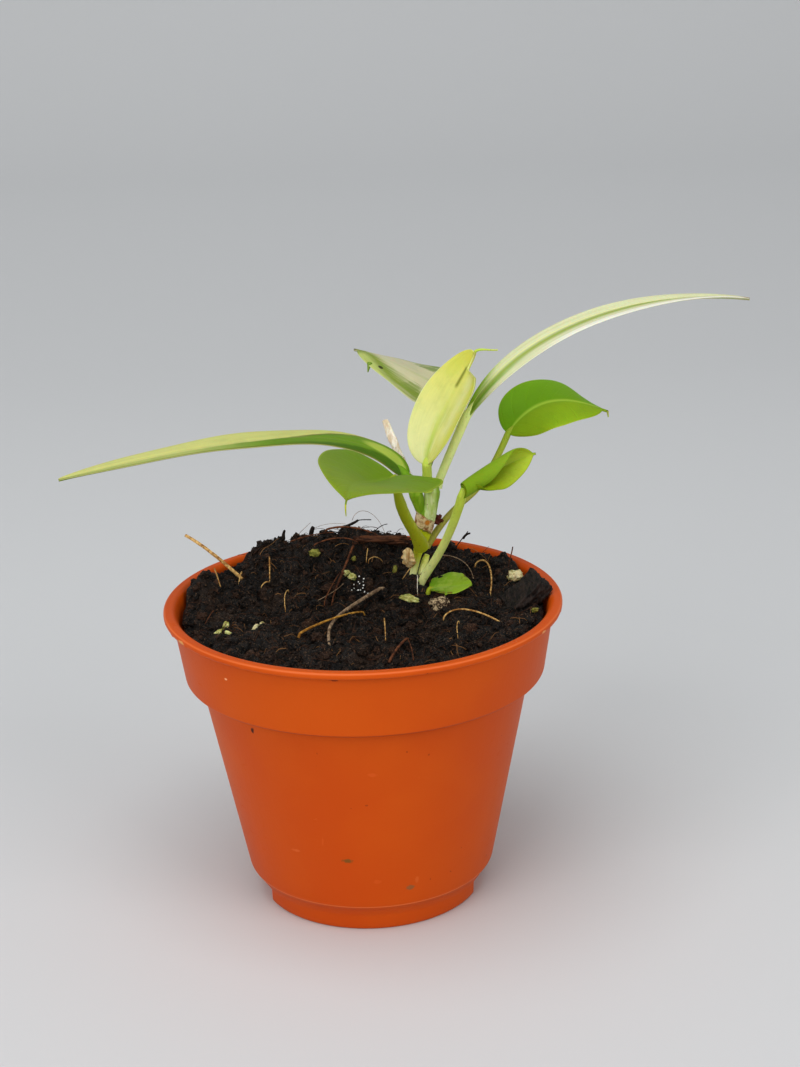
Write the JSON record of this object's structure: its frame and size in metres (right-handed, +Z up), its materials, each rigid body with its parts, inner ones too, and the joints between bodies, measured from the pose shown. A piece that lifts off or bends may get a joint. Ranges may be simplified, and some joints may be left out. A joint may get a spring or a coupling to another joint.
{
  "type": "potted anthurium vittariifolium",
  "caption": "Small round tapered nursery pot with a stepped collar, filled with crumbly peat, holding a young plant with strap-shaped and heart-shaped leaves.",
  "frame": {"origin": "centre of the flat underside of the pot", "axes": "+Z up along the pot's axis, -Y toward the side seen in the picture, +X to the right in it"},
  "size_m": [0.1314, 0.075, 0.1097],
  "materials": {
    "pot_plastic": "satin moulded terracotta-orange plastic",
    "peat": "dark crumbly peat, matte",
    "stem_green": "smooth olive-green stem, satin",
    "leaf_olive": "yellow-green leaf, satin",
    "leaf_cream": "cream-white leaf with pale green streaks, satin",
    "leaf_yellow": "pale yellow young leaf, satin",
    "leaf_variegated": "cream and green marbled leaf, satin",
    "leaf_green": "mid-green glossy leaf",
    "papery": "dry papery sheath",
    "straw": "dry straw and fibre",
    "bark": "dark rotted bark",
    "crumb": "pale crumbly grain"
  },
  "bodies": {
    "root": {"pot": "pot_plastic", "soil": "peat", "stem": "stem_green", "leaf_strap_left": "leaf_olive", "leaf_strap_right": "leaf_cream", "leaf_young": "leaf_yellow", "leaf_back": "leaf_variegated", "leaf_front": "leaf_green", "leaf_right": "leaf_green", "leaf_curled": "leaf_green", "leaf_low": "leaf_green", "dried_stub": "papery", "base_scale": "papery", "straw_left": "straw", "straw_front": "straw", "straw_middle": "straw", "fibre_right": "straw", "fibre_front": "straw", "strand_red": "bark", "bark_chunk": "bark", "bark_chip": "bark", "crumb_beige": "crumb", "crumb_cream": "crumb"}
  },
  "joints": []
}
